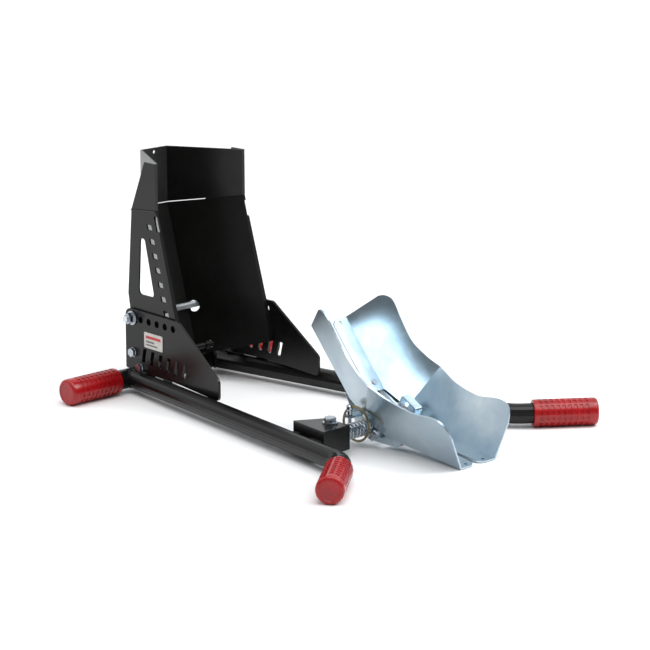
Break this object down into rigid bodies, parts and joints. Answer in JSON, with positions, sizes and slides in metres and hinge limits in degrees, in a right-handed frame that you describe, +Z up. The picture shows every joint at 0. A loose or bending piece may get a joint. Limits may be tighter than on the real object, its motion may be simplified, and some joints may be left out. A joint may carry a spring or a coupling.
{
  "type": "motorcycle front wheel stand",
  "caption": "Free-standing motorcycle front-wheel stand: splayed tubular base, V-shaped upright and a tipping sheet-metal cradle that clamps the wheel.",
  "frame": {"origin": "centre of the bounding box on the floor plane, under the middle of the stand", "axes": "+X from the upright towards the cradle where the wheel rides in, +Y towards the side without the sticker, +Z up"},
  "size_m": [0.6794, 0.5714, 0.36],
  "materials": {
    "black_coat": "satin black powder coat",
    "red_plastic": "ribbed satin red",
    "blue_zinc": "bright zinc with a blue tint",
    "olive_zinc": "dull olive-brown plating",
    "label_film": "pale printed film"
  },
  "bodies": {
    "base": {"rear_cross_tube": "black_coat", "left_rail": "black_coat", "right_rail": "black_coat", "left_side_plate": "black_coat", "right_side_plate": "black_coat", "tower_body": "black_coat", "tower_head": "black_coat", "lower_rod": "black_coat", "lower_rod_collar_left": "black_coat", "lower_rod_collar_right": "black_coat", "left_axle_bracket": "black_coat", "right_axle_bracket": "black_coat", "cap_rear_left": "red_plastic", "cap_rear_right": "red_plastic", "cap_front_left": "red_plastic", "cap_front_right": "red_plastic", "label_plate": "label_film", "tie_rod": "blue_zinc", "tie_rod_nut_left": "blue_zinc", "tie_rod_nut_right": "blue_zinc", "mid_bolt_left": "blue_zinc", "mid_nut_left": "blue_zinc", "low_bolt_left": "blue_zinc", "low_nut_left": "blue_zinc", "mid_bolt_right": "blue_zinc", "mid_nut_right": "blue_zinc", "low_bolt_right": "blue_zinc", "low_nut_right": "blue_zinc", "bracket_bolt_left": "blue_zinc", "bracket_bolt_right": "blue_zinc", "axle": "blue_zinc", "spring_left": "blue_zinc", "spring_right": "blue_zinc"},
    "saddle_core": {"pivot_sleeve": "blue_zinc", "guide_bolt": "blue_zinc", "guide_nut_left": "blue_zinc", "guide_nut_right": "blue_zinc"},
    "left_half": {"cradle_left_half": "blue_zinc", "left_saddle_cheek": "blue_zinc", "left_bridge_channel": "blue_zinc", "saddle_bolt_rear_left": "blue_zinc", "saddle_nut_rear_left": "blue_zinc", "saddle_bolt_front_left": "blue_zinc", "saddle_nut_front_left": "blue_zinc", "linch_pin": "blue_zinc"},
    "right_half": {"cradle_right_half": "blue_zinc", "right_saddle_cheek": "blue_zinc", "right_bridge_channel": "blue_zinc", "saddle_bolt_rear_right": "blue_zinc", "saddle_nut_rear_right": "blue_zinc", "saddle_bolt_front_right": "blue_zinc", "saddle_nut_front_right": "blue_zinc"},
    "ring": {"linch_ring": "olive_zinc"}
  },
  "joints": [
    {"name": "cradle_rock", "type": "hinge", "parent": "base", "child": "saddle_core", "pos_m": [0.15574, 0, 0.0257], "axis": [0, -1, 0], "range_deg": [0, 50]},
    {"name": "left_half_slide", "type": "slide", "parent": "saddle_core", "child": "left_half", "axis": [0, -1, 0], "range_m": [0, 0.0065], "stiffness_N_per_m": 3000, "springref_m": -0.004, "deforming": ["spring_left"]},
    {"name": "right_half_slide", "type": "slide", "parent": "saddle_core", "child": "right_half", "axis": [0, 1, 0], "range_m": [0, 0.0065], "stiffness_N_per_m": 3000, "springref_m": -0.004, "deforming": ["spring_right"]},
    {"name": "ring_swing", "type": "hinge", "parent": "left_half", "child": "ring", "pos_m": [0.13874, -0.054, 0.054], "axis": [-0.8572, 0, -0.5149], "range_deg": [0, 10]}
  ]
}
